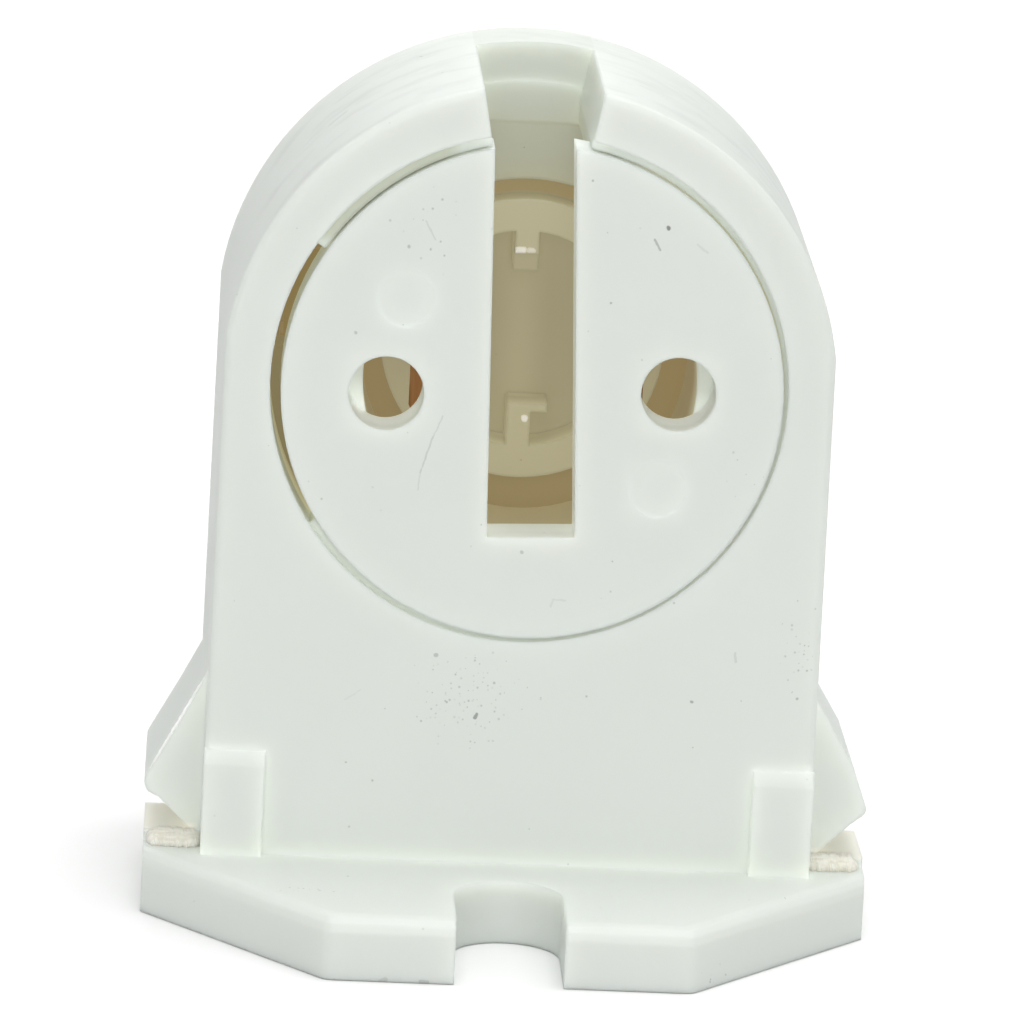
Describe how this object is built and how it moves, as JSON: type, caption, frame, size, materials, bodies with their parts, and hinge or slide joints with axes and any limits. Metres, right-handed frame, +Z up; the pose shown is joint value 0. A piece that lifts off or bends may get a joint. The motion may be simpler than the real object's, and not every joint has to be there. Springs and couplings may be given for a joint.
{
  "type": "fluorescent tube lamp holder",
  "caption": "White moulded holder for one end of a bi-pin fluorescent tube: domed body with a pin notch, turning slotted rotor, base flange with a screw slot and side snap wings.",
  "frame": {"origin": "on the underside of the base, below the middle of the body's front face", "axes": "+Z up through the dome, -Y out of the front face towards the tube, +X to the right seen from the front"},
  "size_m": [0.032, 0.0253, 0.0375],
  "materials": {
    "housing_plastic": "satin moulded white",
    "rotor_plastic": "satin moulded white",
    "cover_plastic": "satin moulded white",
    "contact_bronze": "rolled strip"
  },
  "bodies": {
    "holder": {"housing": "housing_plastic", "rear_cover": "cover_plastic", "contact_left": "contact_bronze", "contact_right": "contact_bronze"},
    "rotor": {"rotor": "rotor_plastic"}
  },
  "joints": [
    {"name": "rotor_turn", "type": "hinge", "parent": "holder", "child": "rotor", "pos_m": [0.00014, 0, 0.024], "axis": [0, -1, 0], "range_deg": [-92.2, 87.8]}
  ]
}
